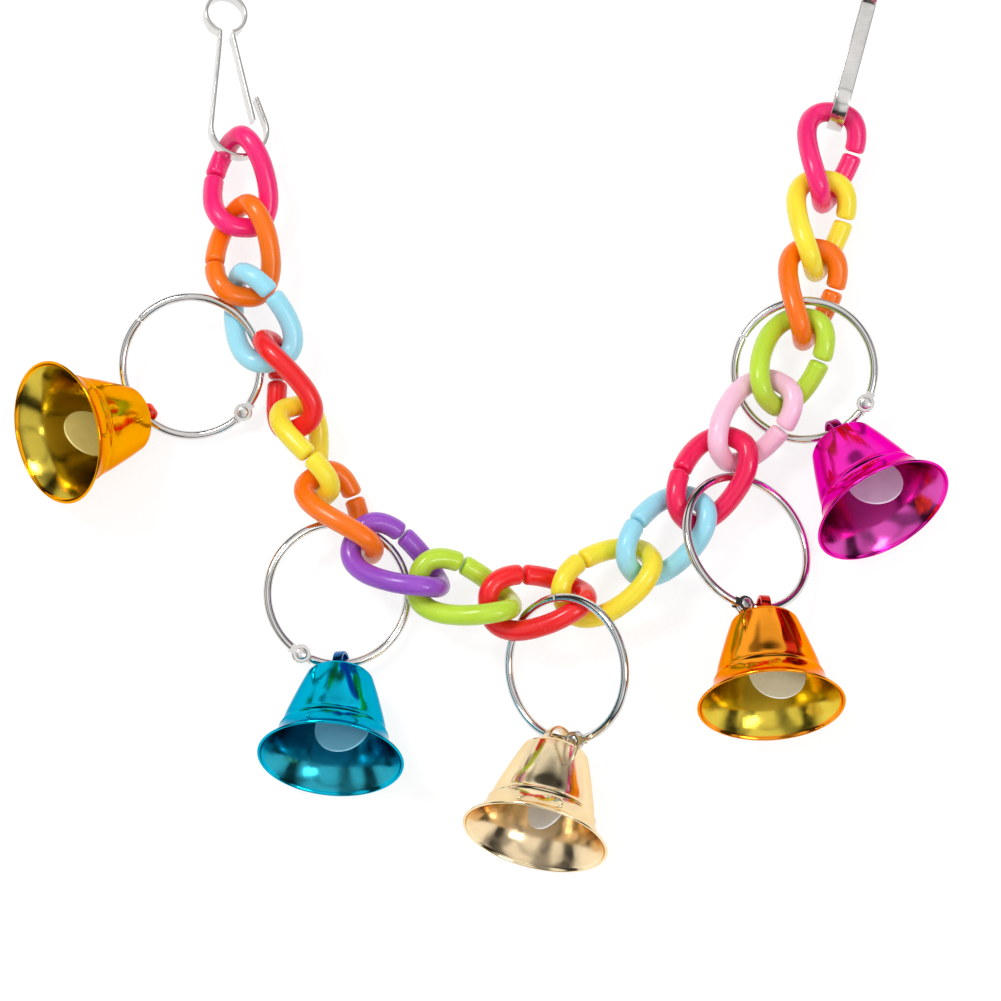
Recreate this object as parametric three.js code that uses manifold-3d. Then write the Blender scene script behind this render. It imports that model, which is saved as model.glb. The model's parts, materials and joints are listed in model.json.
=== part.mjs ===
// Hanging chain toy for a cage: seventeen twisted plastic C-links in an arc between two snap hooks,
// with five hinged rings threaded through the links and a bell on each ring.
// Millimetres, +Z up. The toy lies flat, its origin under the middle of its box.
import * as THREE from 'three';
import { mergeVertices } from 'three/addons/utils/BufferGeometryUtils.js';
import Module from 'manifold-3d';

const wasm = await Module();
wasm.setup();

// Clearances
const SEAT_GAP = 0.3;
const CHAIN_SLACK = 0.7;
const HANGER_WIRE_PLAY = 1.6;
const GATE_ROOT_GAP = 0.9;

// Twisted C-link
const LINK_LENGTH = 42.2;
const LINK_WIDTH = 28.3;
const LINK_BAR = 7.5;
const LINK_TWIST = 42;
const LINK_SQUARENESS = 0.7;
const LINK_SLIT = 1.0;
const LINK_SLIT_OFFSET = 4.5;
const LINK_SIDES = 8;
const LINK_STEPS = 22;

// Hinged ring
const RING_OUTER = 53.4;
const RING_WIRE = 3.2;
const RING_SIDES = 6;
const RING_STEPS = 12;
const TONGUE = 1.0;
const EAR_DIAMETER = 6.4;
const EAR_REACH = 4.4;
const EAR_LAP = 0.8;
const EAR_CURVE_STEPS = 5;
const RIVET_SHAFT = 2.0;
const RIVET_HEAD = 4.2;
const RIVET_DOME = 0.6;
const RIVET_SEGMENTS = 8;

// Bell shell
const BELL_MOUTH = 51;
const BELL_HEIGHT = 34.3;
const BELL_WALL = 0.8;
const BELL_CROWN = 19.2;
const BELL_SEGMENTS = 16;

// Bell hanger, a bent strip loop through two slots in the crown
const HANGER_WIDTH = 3.5;
const HANGER_STRIP = 1.2;
const HANGER_OUTER = 12;
const HANGER_ARCH_RISE = 3.4;
const HANGER_FOOT_DROP = 5.2;
const HANGER_CORNER = 2.2;
const HANGER_CURVE_STEPS = 4;

// Clapper, a flat stamping
const CLAPPER_THICKNESS = 0.8;
const CLAPPER_LOBE = 21;
const CLAPPER_TOP = 12.2;
const CLAPPER_WAIST = 10;
const CLAPPER_SHOULDER = 40;
const CLAPPER_EYE = 7.2;
const CLAPPER_SLOT = 2.4;
const CLAPPER_MOUTH_GAP = 3;
const CLAPPER_LEAN = 12;
const CLAPPER_CURVE_STEPS = 6;

// Snap hook, bent from flat strip
const HOOK_STRIP = 1.2;
const HOOK_STRIP_WIDTH = 5.6;
const HOOK_HEAD = 16;
const HOOK_NECK = 4.2;
const HOOK_LENGTH = 49;
const HOOK_BOW = 22;
const HOOK_BOW_SHIFT = 2.6;
const HOOK_BOW_FROM = 172;
const HOOK_BOW_TO = 375;
const HOOK_GATE_INSET = 5.5;
const HOOK_CATCH_DROP = 25.5;
const HOOK_CATCH_LAP = 9;
const HOOK_ARC_STEPS = 14;

// The links in order from the left end of the arc to the right.
// heading: how far the link points below the X axis along the chain, in degrees. roll: turn about its length.
// lift: height over the middle of the chain. slitSide: 1 is the inner side of the arc. slitWay: 1 is on along
// the chain from the link's middle.
const LINKS = [
  { colour: 'pink', heading: 84, roll: -16, lift: 0, slitSide: -1, slitWay: -1 },
  { colour: 'orange', heading: 88, roll: -14.6, lift: 0.7, slitSide: -1, slitWay: 1 },
  { colour: 'blue', heading: 66, roll: -28.6, lift: 0.6, slitSide: 1, slitWay: -1 },
  { colour: 'red', heading: 69, roll: -69.5, lift: 1, slitSide: -1, slitWay: -1 },
  { colour: 'yellow', heading: 69, roll: 74.9, lift: 0.5, slitSide: -1, slitWay: 1 },
  { colour: 'orange', heading: 53, roll: 59.6, lift: -0.1, slitSide: 1, slitWay: -1 },
  { colour: 'purple', heading: 32, roll: 31.1, lift: 1.3, slitSide: 1, slitWay: -1 },
  { colour: 'green', heading: 18, roll: 26.2, lift: 1.3, slitSide: 1, slitWay: -1 },
  { colour: 'red', heading: -5, roll: 19.6, lift: 0.4, slitSide: 1, slitWay: -1 },
  { colour: 'yellow', heading: -30, roll: 5.5, lift: -0.4, slitSide: 1, slitWay: -1 },
  { colour: 'blue', heading: -46, roll: -7.2, lift: -0.2, slitSide: 1, slitWay: -1 },
  { colour: 'crimson', heading: -57, roll: -8.6, lift: 0.2, slitSide: 1, slitWay: -1 },
  { colour: 'rose', heading: -51, roll: -13.9, lift: 0.2, slitSide: -1, slitWay: 1 },
  { colour: 'green', heading: -65, roll: -10, lift: 0, slitSide: -1, slitWay: 1 },
  { colour: 'orange', heading: -80, roll: -39, lift: 0, slitSide: -1, slitWay: 1 },
  { colour: 'yellow', heading: -82, roll: -36, lift: 0, slitSide: -1, slitWay: 1 },
  { colour: 'pink', heading: -80, roll: -38, lift: 0, slitSide: -1, slitWay: 1 },
];
const ROOT_LINK = 8;

// The rings. link: the link each hangs on, counted from 1. along, outward, height: where its wire threads
// that link, from the link's middle. bearing: the way from the ring's centre to its bell, in degrees.
// thread, seam: angles round the ring from the bell to the threaded link and to the seam.
// fall, lean: the slope of the ring's plane towards the bell and sideways. bellSide: 1 where the bell is on
// the half to the left of the way from hinge to seam. bell: colour, the hanger's turn from square across the
// wire, the bell's bearing and how far its mouth is raised.
const RINGS = [
  { link: 3, along: 0.5, outward: 4.4, height: -1.2, bearing: -134.7, thread: 169.5, seam: 271.7,
    fall: 11.8, lean: -9.6, bellSide: 1, bell: { colour: 'gold', hanger: -5, bearing: 204, raise: 40 } },
  { link: 6, along: 2.4, outward: 2.2, height: -2.4, bearing: -86.5, thread: 172.3, seam: 145.3,
    fall: 6.4, lean: -10, bellSide: -1, bell: { colour: 'cyan', hanger: -20, bearing: 266, raise: 24 } },
  { link: 9, along: -0.3, outward: 1.7, height: 1.7, bearing: -95.5, thread: 216.6, seam: 195.6,
    fall: 18.3, lean: 35.9, bellSide: 1,
    bell: { colour: 'champagne', hanger: -20, bearing: 256, raise: 20 } },
  { link: 12, along: -0.2, outward: 1.7, height: 1.1, bearing: -79, thread: 199, seam: 162,
    fall: -8, lean: -29.4, bellSide: -1, bell: { colour: 'amber', hanger: -20, bearing: 271, raise: 21 } },
  { link: 15, along: -3.8, outward: -0.4, height: 2.9, bearing: -64.6, thread: 151.6, seam: 215.6,
    fall: 7.4, lean: 11.6, bellSide: 1, bell: { colour: 'magenta', hanger: 20, bearing: 294, raise: 25 } },
];

// The snap hooks. along, outward, height: the middle of the bow from the end link's end bar. turn: the hook's
// bearing, fall and roll in degrees.
const HOOKS = [
  { name: 'left', link: 1, way: -1, along: -2.6, outward: -1.5, height: 0.6, turn: [94.4, 0, 17] },
  { name: 'right', link: 17, way: 1, along: 4.7, outward: 1.6, height: 0, turn: [74, 0, 90] },
];

const PLASTIC = {
  pink: '#fa2878', orange: '#ff7814', blue: '#a0e1f5', red: '#f52323', yellow: '#fae63c', purple: '#9b50c3',
  green: '#bedc3c', crimson: '#eb1450', rose: '#ffc8e1',
};
const PLATING = {
  gold: '#e8a020', cyan: '#28b4c8', champagne: '#f2e2d0', amber: '#f0941e', magenta: '#c81e78',
};
const NICKEL = '#c8c8cc';
const HANGER_RED = '#d23c28';
const SATIN = 0.35;
const GLOSS = 0.3;
const BRIGHT = 0.2;
const MIRROR = 0.15;
const CLAPPER_FINISH = {
  gold: '#a89a50', cyan: '#3c96d2', champagne: '#d8c8b4', amber: '#b4aa96', magenta: '#b496c8',
};

const linkHalfLength = (LINK_LENGTH - LINK_BAR) / 2;
const linkHalfWidth = (LINK_WIDTH - LINK_BAR) / 2;
const pitch = LINK_LENGTH - 2 * LINK_BAR - CHAIN_SLACK;
const ringRadius = (RING_OUTER - RING_WIRE) / 2;
const hangerArchInner = HANGER_OUTER / 2 - HANGER_STRIP;
const wireOverCrown = HANGER_ARCH_RISE + hangerArchInner - RING_WIRE / 2 - HANGER_WIRE_PLAY;

const radians = THREE.MathUtils.degToRad;

function material(colour, roughness, metalness) {
  return new THREE.MeshStandardMaterial({ color: colour, roughness, metalness });
}

// Solids to join and cut
function solid(geometry) {
  const bare = geometry.clone();
  bare.deleteAttribute('normal');
  bare.deleteAttribute('uv');
  const merged = mergeVertices(bare, 1e-4);
  const corners = merged.index.array;
  const triVerts = [];
  for (let i = 0; i < corners.length; i += 3) {
    const [a, b, c] = [corners[i], corners[i + 1], corners[i + 2]];
    if (a !== b && b !== c && c !== a) triVerts.push(a, b, c);
  }
  return new wasm.Manifold(new wasm.Mesh({
    numProp: 3,
    vertProperties: merged.attributes.position.array,
    triVerts: Uint32Array.from(triVerts),
  }));
}

function geometryOf(body) {
  const mesh = body.getMesh();
  const geometry = new THREE.BufferGeometry();
  geometry.setAttribute('position', new THREE.BufferAttribute(mesh.vertProperties, 3));
  geometry.setIndex(new THREE.BufferAttribute(mesh.triVerts, 1));
  geometry.computeVertexNormals();
  return geometry;
}

// Outlines
function regularSection(diameter, sides) {
  const shape = new THREE.Shape();
  for (let i = 0; i < sides; i += 1) {
    const angle = ((i + 0.5) * 2 * Math.PI) / sides;
    const [x, y] = [(diameter / 2) * Math.cos(angle), (diameter / 2) * Math.sin(angle)];
    if (i === 0) shape.moveTo(x, y);
    else shape.lineTo(x, y);
  }
  shape.closePath();
  return shape;
}

function offsetPath(points, distance) {
  return points.map((point, i) => {
    const before = points[Math.max(i - 1, 0)];
    const after = points[Math.min(i + 1, points.length - 1)];
    const first = point.clone().sub(before).normalize();
    const second = after.clone().sub(point).normalize();
    const way = first.add(second).normalize();
    return new THREE.Vector2(point.x - way.y * distance, point.y + way.x * distance);
  });
}

function stripGeometry(path, thickness, width) {
  const outline = [...offsetPath(path, thickness / 2), ...offsetPath(path, -thickness / 2).reverse()];
  const geometry = new THREE.ExtrudeGeometry(new THREE.Shape(outline), { depth: width, bevelEnabled: false });
  return geometry.translate(0, 0, -width / 2);
}

function arcPoints(cx, cy, radius, from, to, steps) {
  const points = [];
  for (let i = 0; i <= steps; i += 1) {
    const angle = radians(from + ((to - from) * i) / steps);
    points.push(new THREE.Vector2(cx + radius * Math.cos(angle), cy + radius * Math.sin(angle)));
  }
  return points;
}

const SMALL_ANGLE = 0.01;

// Twisted C-link: a rounded oval whose plane turns steadily along its length, slit across one side
class TwistedOval extends THREE.Curve {
  constructor(roll, slitSide, slitWay) {
    super();
    this.roll = roll;
    this.arcLengthDivisions = 600;
    const reach = Math.pow(LINK_SLIT_OFFSET / linkHalfLength, 1 / LINK_SQUARENESS);
    const slit = slitSide * Math.acos(slitWay * reach);
    const speed = this.at(slit + SMALL_ANGLE).distanceTo(this.at(slit - SMALL_ANGLE)) / (2 * SMALL_ANGLE);
    const half = LINK_SLIT / 2 / speed;
    this.from = slit + half;
    this.to = slit + 2 * Math.PI - half;
  }

  at(angle) {
    const curve = (value) => Math.sign(value) * Math.pow(Math.abs(value), LINK_SQUARENESS);
    const along = linkHalfLength * curve(Math.cos(angle));
    const side = linkHalfWidth * curve(Math.sin(angle));
    const turn = -radians(this.roll + (LINK_TWIST * along) / linkHalfLength);
    return new THREE.Vector3(along, side * Math.cos(turn), side * Math.sin(turn));
  }

  getPoint(t) {
    return this.at(this.from + (this.to - this.from) * t);
  }
}

function linkGeometry({ roll, slitSide, slitWay }) {
  return new THREE.ExtrudeGeometry(regularSection(LINK_BAR, LINK_SIDES), {
    steps: LINK_STEPS,
    bevelEnabled: false,
    extrudePath: new TwistedOval(roll, slitSide, slitWay),
  });
}

// Hinged ring: two half circles, hinge at -X and seam at +X
class HalfCircle extends THREE.Curve {
  constructor(from, to) {
    super();
    this.from = from;
    this.to = to;
  }

  getPoint(t) {
    const angle = this.from + (this.to - this.from) * t;
    return new THREE.Vector3(ringRadius * Math.cos(angle), ringRadius * Math.sin(angle), 0);
  }
}

function earGeometry(side, low, high) {
  const plate = new THREE.Shape();
  plate.absarc(0, 0, EAR_DIAMETER / 2, 0, 2 * Math.PI, false);
  const eye = new THREE.Path();
  eye.absarc(0, 0, RIVET_SHAFT / 2 + SEAT_GAP, 0, 2 * Math.PI, true);
  plate.holes.push(eye);
  const disc = new THREE.ExtrudeGeometry(plate, {
    depth: high - low,
    bevelEnabled: false,
    curveSegments: EAR_CURVE_STEPS,
  });
  disc.translate(0, 0, low);
  const neckRoot = EAR_DIAMETER / 2 - EAR_LAP;
  const neck = new THREE.BoxGeometry(RING_WIRE, EAR_REACH - neckRoot, high - low);
  neck.translate(0, (side * (EAR_REACH + neckRoot)) / 2, (low + high) / 2);
  return solid(disc).add(solid(neck));
}

function ringHalfGeometry(side, forked) {
  const hinge = new THREE.Vector3(-ringRadius, 0, 0);
  const start = Math.PI - EAR_REACH / ringRadius;
  const seam = SEAT_GAP / 2 / ringRadius;
  const wire = new THREE.ExtrudeGeometry(regularSection(RING_WIRE, RING_SIDES), {
    steps: RING_STEPS,
    bevelEnabled: false,
    extrudePath: new HalfCircle(side * start, side * seam),
  });
  let half = solid(wire);
  const eared = RING_WIRE / 2;
  const layers = forked
    ? [[-eared, -TONGUE / 2 - SEAT_GAP], [TONGUE / 2 + SEAT_GAP, eared]]
    : [[-TONGUE / 2, TONGUE / 2]];
  for (const [low, high] of layers) {
    half = half.add(earGeometry(side, low, high).translate(hinge.toArray()));
  }
  return geometryOf(half);
}

function rivetGeometry() {
  const grip = RING_WIRE / 2 + SEAT_GAP;
  const domed = [90, 45, 0].map((degrees) => new THREE.Vector2(
    (RIVET_HEAD / 2) * Math.cos(radians(degrees)),
    grip + RIVET_DOME * Math.sin(radians(degrees)),
  ));
  const above = [...domed, new THREE.Vector2(RIVET_SHAFT / 2, grip)];
  const below = above.map(({ x, y }) => new THREE.Vector2(x, -y));
  const lathe = new THREE.LatheGeometry([...below, ...above.reverse()], RIVET_SEGMENTS);
  return geometryOf(solid(lathe.rotateX(Math.PI / 2)));
}

// Bell shell: mouth at Z = 0, crown up. The outline runs from the lip to the crown as shares of the height and of
// the reach from crown to mouth, since the flare, waist and shoulder keep their proportions.
function bellGeometry() {
  const mouth = BELL_MOUTH / 2;
  const crown = BELL_CROWN / 2;
  const flare = [
    [1.0, 0.0], [0.985, 0.03], [0.84, 0.12], [0.74, 0.24],
    [0.56, 0.5], [0.34, 0.78], [0.15, 0.94], [0.0, 1.0],
  ];
  const outer = flare.map(([out, up]) => new THREE.Vector2(crown + (mouth - crown) * out, BELL_HEIGHT * up));
  const inner = offsetPath(outer, BELL_WALL).map(({ x, y }) => (
    new THREE.Vector2(x, THREE.MathUtils.clamp(y, 0, BELL_HEIGHT - BELL_WALL))
  ));
  const profile = [
    new THREE.Vector2(0, BELL_HEIGHT - BELL_WALL),
    ...inner.reverse(),
    ...outer,
    new THREE.Vector2(0, BELL_HEIGHT),
  ];
  const lathe = new THREE.LatheGeometry(profile, BELL_SEGMENTS);
  let shell = solid(lathe.rotateX(Math.PI / 2));
  const slot = new THREE.BoxGeometry(HANGER_STRIP + 2 * SEAT_GAP, HANGER_WIDTH + 2 * SEAT_GAP, 4 * BELL_WALL);
  for (const side of [-1, 1]) {
    const x = side * (HANGER_OUTER - HANGER_STRIP) / 2;
    shell = shell.subtract(solid(slot).translate([x, 0, BELL_HEIGHT - BELL_WALL / 2]));
  }
  return geometryOf(shell);
}

// Hanger: a closed strip loop standing in the bell's XZ plane, its arch over the crown and its foot inside
function roundedArch(path, half, archCentre, foot, corner, clockwise) {
  if (clockwise) {
    path.moveTo(half, archCentre);
    path.lineTo(half, foot + corner);
    path.absarc(half - corner, foot + corner, corner, 0, -Math.PI / 2, true);
    path.absarc(-half + corner, foot + corner, corner, -Math.PI / 2, -Math.PI, true);
    path.lineTo(-half, archCentre);
    path.absarc(0, archCentre, half, Math.PI, 0, true);
  } else {
    path.absarc(0, archCentre, half, 0, Math.PI, false);
    path.lineTo(-half, foot + corner);
    path.absarc(-half + corner, foot + corner, corner, Math.PI, 1.5 * Math.PI, false);
    path.absarc(half - corner, foot + corner, corner, 1.5 * Math.PI, 2 * Math.PI, false);
    path.lineTo(half, archCentre);
  }
  return path;
}

const archCentre = BELL_HEIGHT + HANGER_ARCH_RISE;
const footInside = BELL_HEIGHT - BELL_WALL - HANGER_FOOT_DROP;
const footCentre = footInside - HANGER_STRIP / 2;
const wirePivot = BELL_HEIGHT + wireOverCrown;

function hangerGeometry() {
  const half = HANGER_OUTER / 2;
  const footOutside = footInside - HANGER_STRIP;
  const shape = roundedArch(new THREE.Shape(), half, archCentre, footOutside, HANGER_CORNER, false);
  const hole = roundedArch(
    new THREE.Path(), half - HANGER_STRIP, archCentre, footInside, HANGER_CORNER - HANGER_STRIP, true,
  );
  shape.holes.push(hole);
  const strip = new THREE.ExtrudeGeometry(shape, {
    depth: HANGER_WIDTH,
    bevelEnabled: false,
    curveSegments: HANGER_CURVE_STEPS,
  });
  strip.translate(0, 0, -HANGER_WIDTH / 2);
  return geometryOf(solid(strip.rotateX(Math.PI / 2)));
}

// Clapper: flat, hung by a horned eye from the hanger's foot, which is at the origin here. Mouth towards -Y.
function clapperGeometry() {
  const eye = CLAPPER_EYE / 2;
  const top = CLAPPER_TOP / 2;
  const waist = CLAPPER_WAIST / 2;
  const lobe = CLAPPER_LOBE / 2;
  const shoulder = radians(CLAPPER_SHOULDER);
  const eyeY = -(eye - Math.hypot(HANGER_WIDTH, HANGER_STRIP) / 2 - SEAT_GAP);
  const lobeY = lobe + CLAPPER_MOUTH_GAP - footCentre;
  const waistY = lobeY + lobe * (Math.sin(shoulder) + Math.cos(shoulder)) - waist;
  const horn = Math.asin(CLAPPER_SLOT / 2 / top);
  const throat = Math.asin(CLAPPER_SLOT / 2 / eye);
  const shape = new THREE.Shape();
  shape.absarc(0, eyeY, top, Math.PI / 2 + horn, Math.PI, false);
  shape.lineTo(-waist, waistY);
  shape.absarc(0, lobeY, lobe, Math.PI - shoulder, 2 * Math.PI + shoulder, false);
  shape.lineTo(waist, waistY);
  shape.absarc(0, eyeY, top, 0, Math.PI / 2 - horn, false);
  shape.absarc(0, eyeY, eye, Math.PI / 2 - throat, -1.5 * Math.PI + throat, true);
  const plate = new THREE.ExtrudeGeometry(shape, {
    depth: CLAPPER_THICKNESS,
    bevelEnabled: false,
    curveSegments: CLAPPER_CURVE_STEPS,
  });
  return geometryOf(solid(plate.translate(0, 0, -CLAPPER_THICKNESS / 2)));
}

// Snap hook: strip bent in the XY plane, the middle of its bow at the origin and its head towards +Y
const bowRadius = HOOK_BOW / 2;
const neckHeight = HOOK_LENGTH - bowRadius;
const gateX = bowRadius - HOOK_GATE_INSET;

function hookBodyPath() {
  const headRadius = (HOOK_HEAD - HOOK_STRIP) / 2;
  const spread = Math.asin(HOOK_NECK / 2 / headRadius);
  const opening = THREE.MathUtils.radToDeg(spread);
  const headCentre = neckHeight + headRadius * Math.cos(spread);
  const [headFrom, headTo] = [-90 + opening, 270 - opening];
  const head = arcPoints(-HOOK_BOW_SHIFT, headCentre, headRadius, headFrom, headTo, HOOK_ARC_STEPS);
  const bow = arcPoints(0, 0, bowRadius - HOOK_STRIP / 2, HOOK_BOW_FROM, HOOK_BOW_TO, HOOK_ARC_STEPS);
  const catchTop = new THREE.Vector2(gateX + HOOK_STRIP + SEAT_GAP, neckHeight - HOOK_CATCH_DROP);
  return [...head, ...bow, catchTop];
}

function hookGatePath() {
  const top = new THREE.Vector2(HOOK_NECK / 2 - HOOK_BOW_SHIFT, neckHeight - GATE_ROOT_GAP);
  const low = new THREE.Vector2(gateX, neckHeight - HOOK_CATCH_DROP - HOOK_CATCH_LAP);
  return [top, new THREE.Vector2().lerpVectors(top, low, 0.5), low];
}

function hookBodyGeometry() {
  return geometryOf(solid(stripGeometry(hookBodyPath(), HOOK_STRIP, HOOK_STRIP_WIDTH)));
}

function hookGateGeometry() {
  return geometryOf(solid(stripGeometry(hookGatePath(), HOOK_STRIP, HOOK_STRIP_WIDTH)));
}

// Placing pieces: every group is set in the toy's own frame and then attached to the piece that carries it
const toy = new THREE.Group();

function groupAt(name, parent, point, basis) {
  const group = new THREE.Group();
  group.name = name;
  const [x, y, z] = basis;
  group.quaternion.setFromRotationMatrix(new THREE.Matrix4().makeBasis(x, y, z));
  group.position.copy(point);
  toy.add(group);
  toy.updateMatrixWorld(true);
  parent.attach(group);
  group.updateMatrixWorld(true);
  return group;
}

function addPiece(name, parent, geometry, finish) {
  const mesh = new THREE.Mesh(geometry, finish);
  mesh.name = name;
  parent.add(mesh);
  return mesh;
}

function basisAlong(axis, near) {
  const z = axis.clone().normalize();
  const x = near.clone().addScaledVector(z, -near.dot(z)).normalize();
  return [x, new THREE.Vector3().crossVectors(z, x), z];
}

function flatBasis(bearing) {
  const x = new THREE.Vector3(Math.cos(radians(bearing)), Math.sin(radians(bearing)), 0);
  return [x, new THREE.Vector3(-x.y, x.x, 0), new THREE.Vector3(0, 0, 1)];
}

const UP = new THREE.Vector3(0, 0, 1);

// Chain: the links' middles follow from the pitch and the headings, from the middle link outwards both ways
const linkMiddles = [];
linkMiddles[ROOT_LINK] = new THREE.Vector3(0, 0, 0);
const linkWay = (i) => flatBasis(-LINKS[i].heading)[0];
const endOf = (i, way) => linkMiddles[i].clone().addScaledVector(linkWay(i), (way * pitch) / 2);
const linkGroups = [];

function addLink(i, way) {
  const name = `link_${String(i + 1).padStart(2, '0')}_${LINKS[i].colour}`;
  let parent = toy;
  let pivot = linkMiddles[ROOT_LINK];
  if (i !== ROOT_LINK) {
    parent = linkGroups[i - way];
    pivot = endOf(i - way, way);
    linkMiddles[i] = pivot.clone().addScaledVector(linkWay(i), (way * pitch) / 2);
  }
  const middle = linkMiddles[i].clone().setZ(LINKS[i].lift);
  const axis = UP.clone().multiplyScalar(i % 2 === 0 ? 1 : -1);
  linkGroups[i] = groupAt(`${name}_bend`, parent, pivot, basisAlong(axis, linkWay(i)));
  const seat = groupAt(`${name}_seat`, linkGroups[i], middle, flatBasis(-LINKS[i].heading));
  addPiece(name, seat, linkGeometry(LINKS[i]), material(PLASTIC[LINKS[i].colour], GLOSS, 0));
}

addLink(ROOT_LINK, 1);
for (let i = ROOT_LINK + 1; i < LINKS.length; i += 1) addLink(i, 1);
for (let i = ROOT_LINK - 1; i >= 0; i -= 1) addLink(i, -1);

function inLink(i, along, outward, height) {
  const [x, y] = flatBasis(-LINKS[i].heading);
  return linkMiddles[i].clone().addScaledVector(x, along).addScaledVector(y, -outward).setZ(height);
}

// Rings and bells
function addRing(ring, number) {
  const turn = new THREE.Euler(radians(ring.lean), radians(ring.fall), radians(ring.bearing), 'ZYX');
  const plane = [new THREE.Vector3(1, 0, 0), new THREE.Vector3(0, 1, 0), new THREE.Vector3(0, 0, 1)];
  const [toBell, across, normal] = plane.map((v) => v.applyEuler(turn));
  const onRing = (degrees) => (
    toBell.clone().multiplyScalar(Math.cos(radians(degrees)))
      .addScaledVector(across, Math.sin(radians(degrees)))
  );
  const thread = inLink(ring.link - 1, ring.along, ring.outward, ring.height);
  const centre = thread.clone().addScaledVector(onRing(ring.thread), -ringRadius);
  const name = `ring_${number}`;
  const steel = material(NICKEL, BRIGHT, 1);

  const swing = groupAt(`${name}_swing`, linkGroups[ring.link - 1], thread, flatBasis(0));
  const seamBasis = [onRing(ring.seam), onRing(ring.seam + 90), normal];
  const fixed = groupAt(`${name}_plane`, swing, centre, seamBasis);
  addPiece(`${name}_fixed_half`, fixed, ringHalfGeometry(-ring.bellSide, true), steel.clone());

  const hinge = centre.clone().addScaledVector(onRing(ring.seam), -ringRadius);
  const rivet = groupAt(`${name}_rivet_seat`, fixed, hinge, seamBasis);
  addPiece(`${name}_rivet`, rivet, rivetGeometry(), steel.clone());

  const openAxis = normal.clone().multiplyScalar(ring.bellSide);
  const open = groupAt(`${name}_open`, fixed, hinge, basisAlong(openAxis, onRing(ring.seam)));
  const half = groupAt(`${name}_half`, open, centre, seamBasis);
  addPiece(`${name}_swing_half`, half, ringHalfGeometry(ring.bellSide, false), steel.clone());

  const lug = centre.clone().addScaledVector(toBell, ringRadius);
  addBell(ring.bell, number, half, lug, across);
}

function addBell(bell, number, parent, lug, wireWay) {
  const name = `bell_${number}`;
  const [level] = flatBasis(bell.bearing);
  const raise = radians(bell.raise);
  const mouthWay = level.clone().multiplyScalar(Math.cos(raise)).addScaledVector(UP, Math.sin(raise));
  const crownWay = mouthWay.clone().negate();
  const overWire = wireWay.clone().cross(crownWay).applyAxisAngle(crownWay, radians(bell.hanger));
  const basis = basisAlong(crownWay, overWire);

  const lifts = wireWay.clone().cross(mouthWay).z > 0 ? 1 : -1;
  const swingAxis = wireWay.clone().multiplyScalar(lifts);
  const swing = groupAt(`${name}_swing`, parent, lug, basisAlong(swingAxis, mouthWay));
  const mouth = lug.clone().addScaledVector(crownWay, -wirePivot);
  const seat = groupAt(`${name}_seat`, swing, mouth, basis);
  addPiece(`${name}_shell`, seat, bellGeometry(), material(PLATING[bell.colour], MIRROR, 1));
  addPiece(`${name}_hanger`, seat, hangerGeometry(), material(HANGER_RED, BRIGHT, 1));

  const foot = mouth.clone().addScaledVector(crownWay, footCentre);
  const strike = groupAt(`${name}_strike`, seat, foot, basisAlong(basis[0], crownWay));
  const plate = new THREE.Group();
  strike.add(plate);
  plate.rotation.z = radians(-90 + CLAPPER_LEAN);
  addPiece(`${name}_clapper`, plate, clapperGeometry(), material(CLAPPER_FINISH[bell.colour], SATIN, 1));
}

RINGS.forEach((ring, i) => addRing(ring, i + 1));

// Hooks
function addHook(hook) {
  const i = hook.link - 1;
  const end = hook.way * linkHalfLength;
  const bow = inLink(i, end + hook.along, hook.outward, hook.height);
  const [bearing, fall, roll] = hook.turn;
  const turn = new THREE.Euler(radians(roll), radians(fall), radians(bearing), 'ZYX');
  const basis = [new THREE.Vector3(0, -1, 0), new THREE.Vector3(1, 0, 0), new THREE.Vector3(0, 0, 1)]
    .map((v) => v.applyEuler(turn));
  const nickel = material(NICKEL, BRIGHT, 1);
  const pivot = inLink(i, end, 0, 0);
  const axis = UP.clone().multiplyScalar(hook.way);
  const swing = groupAt(`${hook.name}_hook_swing`, linkGroups[i], pivot, basisAlong(axis, basis[1]));
  const seat = groupAt(`${hook.name}_hook_seat`, swing, bow, basis);
  addPiece(`${hook.name}_hook`, seat, hookBodyGeometry(), nickel.clone());
  const gateRoot = hookGatePath()[0];
  const root = bow.clone().addScaledVector(basis[0], gateRoot.x).addScaledVector(basis[1], gateRoot.y);
  const gateAxis = basis[2].clone().negate();
  const gate = groupAt(`${hook.name}_hook_gate_bend`, seat, root, basisAlong(gateAxis, basis[0]));
  const gateSeat = groupAt(`${hook.name}_hook_gate_seat`, gate, bow, basis);
  addPiece(`${hook.name}_hook_gate`, gateSeat, hookGateGeometry(), nickel.clone());
}

HOOKS.forEach(addHook);

// The origin goes under the middle of the toy's box
toy.updateMatrixWorld(true);
const box = new THREE.Box3().setFromObject(toy, true);
const middle = box.getCenter(new THREE.Vector3());
toy.position.set(-middle.x, -middle.y, -box.min.z);
toy.updateMatrixWorld(true);

export default toy;
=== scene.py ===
import json
import math

import bmesh
import bpy
from mathutils import Matrix, Vector


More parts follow.
